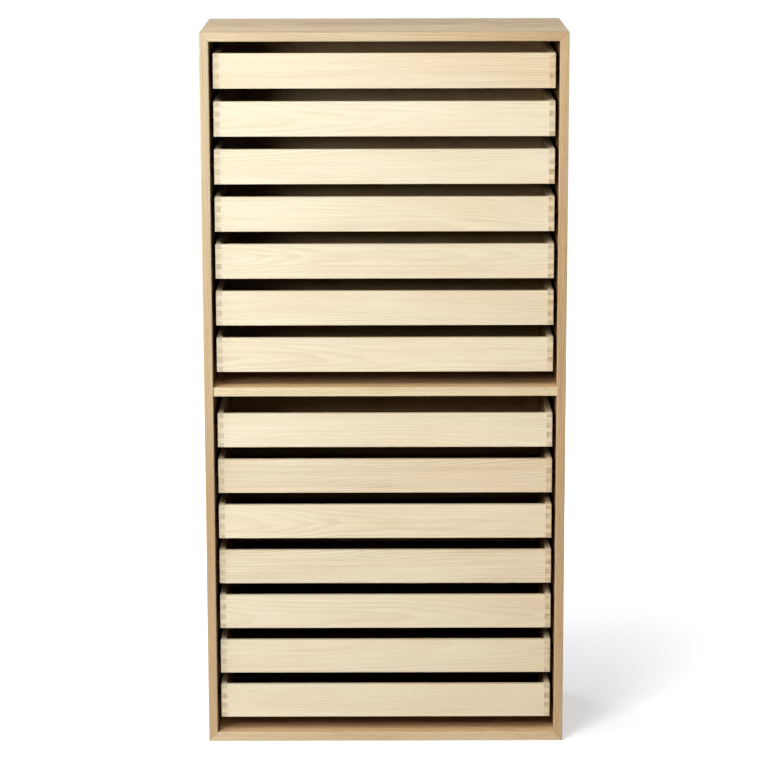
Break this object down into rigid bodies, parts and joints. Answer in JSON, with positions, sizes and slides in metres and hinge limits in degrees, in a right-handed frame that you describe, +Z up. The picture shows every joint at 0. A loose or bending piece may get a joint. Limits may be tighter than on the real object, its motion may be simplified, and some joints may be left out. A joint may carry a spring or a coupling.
{
  "type": "bookcase",
  "caption": "Tall open-fronted wooden bookcase with a mitred case, a fixed middle shelf and shallow finger-jointed trays that slide out on side runners.",
  "frame": {"origin": "centre of the case's footprint, on the surface it stands on", "axes": "+Z up; -Y out of the open front, the way the trays slide out; +X to the right seen from the front"},
  "size_m": [0.76, 0.36, 1.52],
  "materials": {
    "case_oak": "pale oak, satin soap or oil finish",
    "tray_ash": "pale ash or maple, satin",
    "tray_plywood": "thin pale plywood, satin",
    "panel_oak_veneer": "oak veneered board, satin",
    "runner_beech": "planed hardwood, waxed",
    "hidden_beech": "planed hardwood, unfinished"
  },
  "bodies": {
    "case": {"side_left": "case_oak", "side_right": "case_oak", "top_board": "case_oak", "bottom_board": "case_oak", "mitre_tongues": "hidden_beech", "middle_shelf": "case_oak", "back_panel": "panel_oak_veneer", "runners_upper_left": "runner_beech", "runners_upper_right": "runner_beech", "runners_lower_left": "runner_beech", "runners_lower_right": "runner_beech"},
    "tray_01": {"tray_01_front": "tray_ash", "tray_01_frame": "tray_ash", "tray_01_bottom": "tray_plywood"},
    "tray_02": {"tray_02_front": "tray_ash", "tray_02_frame": "tray_ash", "tray_02_bottom": "tray_plywood"},
    "tray_03": {"tray_03_front": "tray_ash", "tray_03_frame": "tray_ash", "tray_03_bottom": "tray_plywood"},
    "tray_04": {"tray_04_front": "tray_ash", "tray_04_frame": "tray_ash", "tray_04_bottom": "tray_plywood"},
    "tray_05": {"tray_05_front": "tray_ash", "tray_05_frame": "tray_ash", "tray_05_bottom": "tray_plywood"},
    "tray_06": {"tray_06_front": "tray_ash", "tray_06_frame": "tray_ash", "tray_06_bottom": "tray_plywood"},
    "tray_07": {"tray_07_front": "tray_ash", "tray_07_frame": "tray_ash", "tray_07_bottom": "tray_plywood"},
    "tray_08": {"tray_08_front": "tray_ash", "tray_08_frame": "tray_ash", "tray_08_bottom": "tray_plywood"},
    "tray_09": {"tray_09_front": "tray_ash", "tray_09_frame": "tray_ash", "tray_09_bottom": "tray_plywood"},
    "tray_10": {"tray_10_front": "tray_ash", "tray_10_frame": "tray_ash", "tray_10_bottom": "tray_plywood"},
    "tray_11": {"tray_11_front": "tray_ash", "tray_11_frame": "tray_ash", "tray_11_bottom": "tray_plywood"},
    "tray_12": {"tray_12_front": "tray_ash", "tray_12_frame": "tray_ash", "tray_12_bottom": "tray_plywood"},
    "tray_13": {"tray_13_front": "tray_ash", "tray_13_frame": "tray_ash", "tray_13_bottom": "tray_plywood"},
    "tray_14": {"tray_14_front": "tray_ash", "tray_14_frame": "tray_ash", "tray_14_bottom": "tray_plywood"}
  },
  "joints": [
    {"name": "tray_01_slide", "type": "slide", "parent": "case", "child": "tray_01", "axis": [0, -1, 0], "range_m": [0, 0.2]},
    {"name": "tray_02_slide", "type": "slide", "parent": "case", "child": "tray_02", "axis": [0, -1, 0], "range_m": [0, 0.2]},
    {"name": "tray_03_slide", "type": "slide", "parent": "case", "child": "tray_03", "axis": [0, -1, 0], "range_m": [0, 0.2]},
    {"name": "tray_04_slide", "type": "slide", "parent": "case", "child": "tray_04", "axis": [0, -1, 0], "range_m": [0, 0.2]},
    {"name": "tray_05_slide", "type": "slide", "parent": "case", "child": "tray_05", "axis": [0, -1, 0], "range_m": [0, 0.2]},
    {"name": "tray_06_slide", "type": "slide", "parent": "case", "child": "tray_06", "axis": [0, -1, 0], "range_m": [0, 0.2]},
    {"name": "tray_07_slide", "type": "slide", "parent": "case", "child": "tray_07", "axis": [0, -1, 0], "range_m": [0, 0.2]},
    {"name": "tray_08_slide", "type": "slide", "parent": "case", "child": "tray_08", "axis": [0, -1, 0], "range_m": [0, 0.2]},
    {"name": "tray_09_slide", "type": "slide", "parent": "case", "child": "tray_09", "axis": [0, -1, 0], "range_m": [0, 0.2]},
    {"name": "tray_10_slide", "type": "slide", "parent": "case", "child": "tray_10", "axis": [0, -1, 0], "range_m": [0, 0.2]},
    {"name": "tray_11_slide", "type": "slide", "parent": "case", "child": "tray_11", "axis": [0, -1, 0], "range_m": [0, 0.2]},
    {"name": "tray_12_slide", "type": "slide", "parent": "case", "child": "tray_12", "axis": [0, -1, 0], "range_m": [0, 0.2]},
    {"name": "tray_13_slide", "type": "slide", "parent": "case", "child": "tray_13", "axis": [0, -1, 0], "range_m": [0, 0.2]},
    {"name": "tray_14_slide", "type": "slide", "parent": "case", "child": "tray_14", "axis": [0, -1, 0], "range_m": [0, 0.2]}
  ]
}
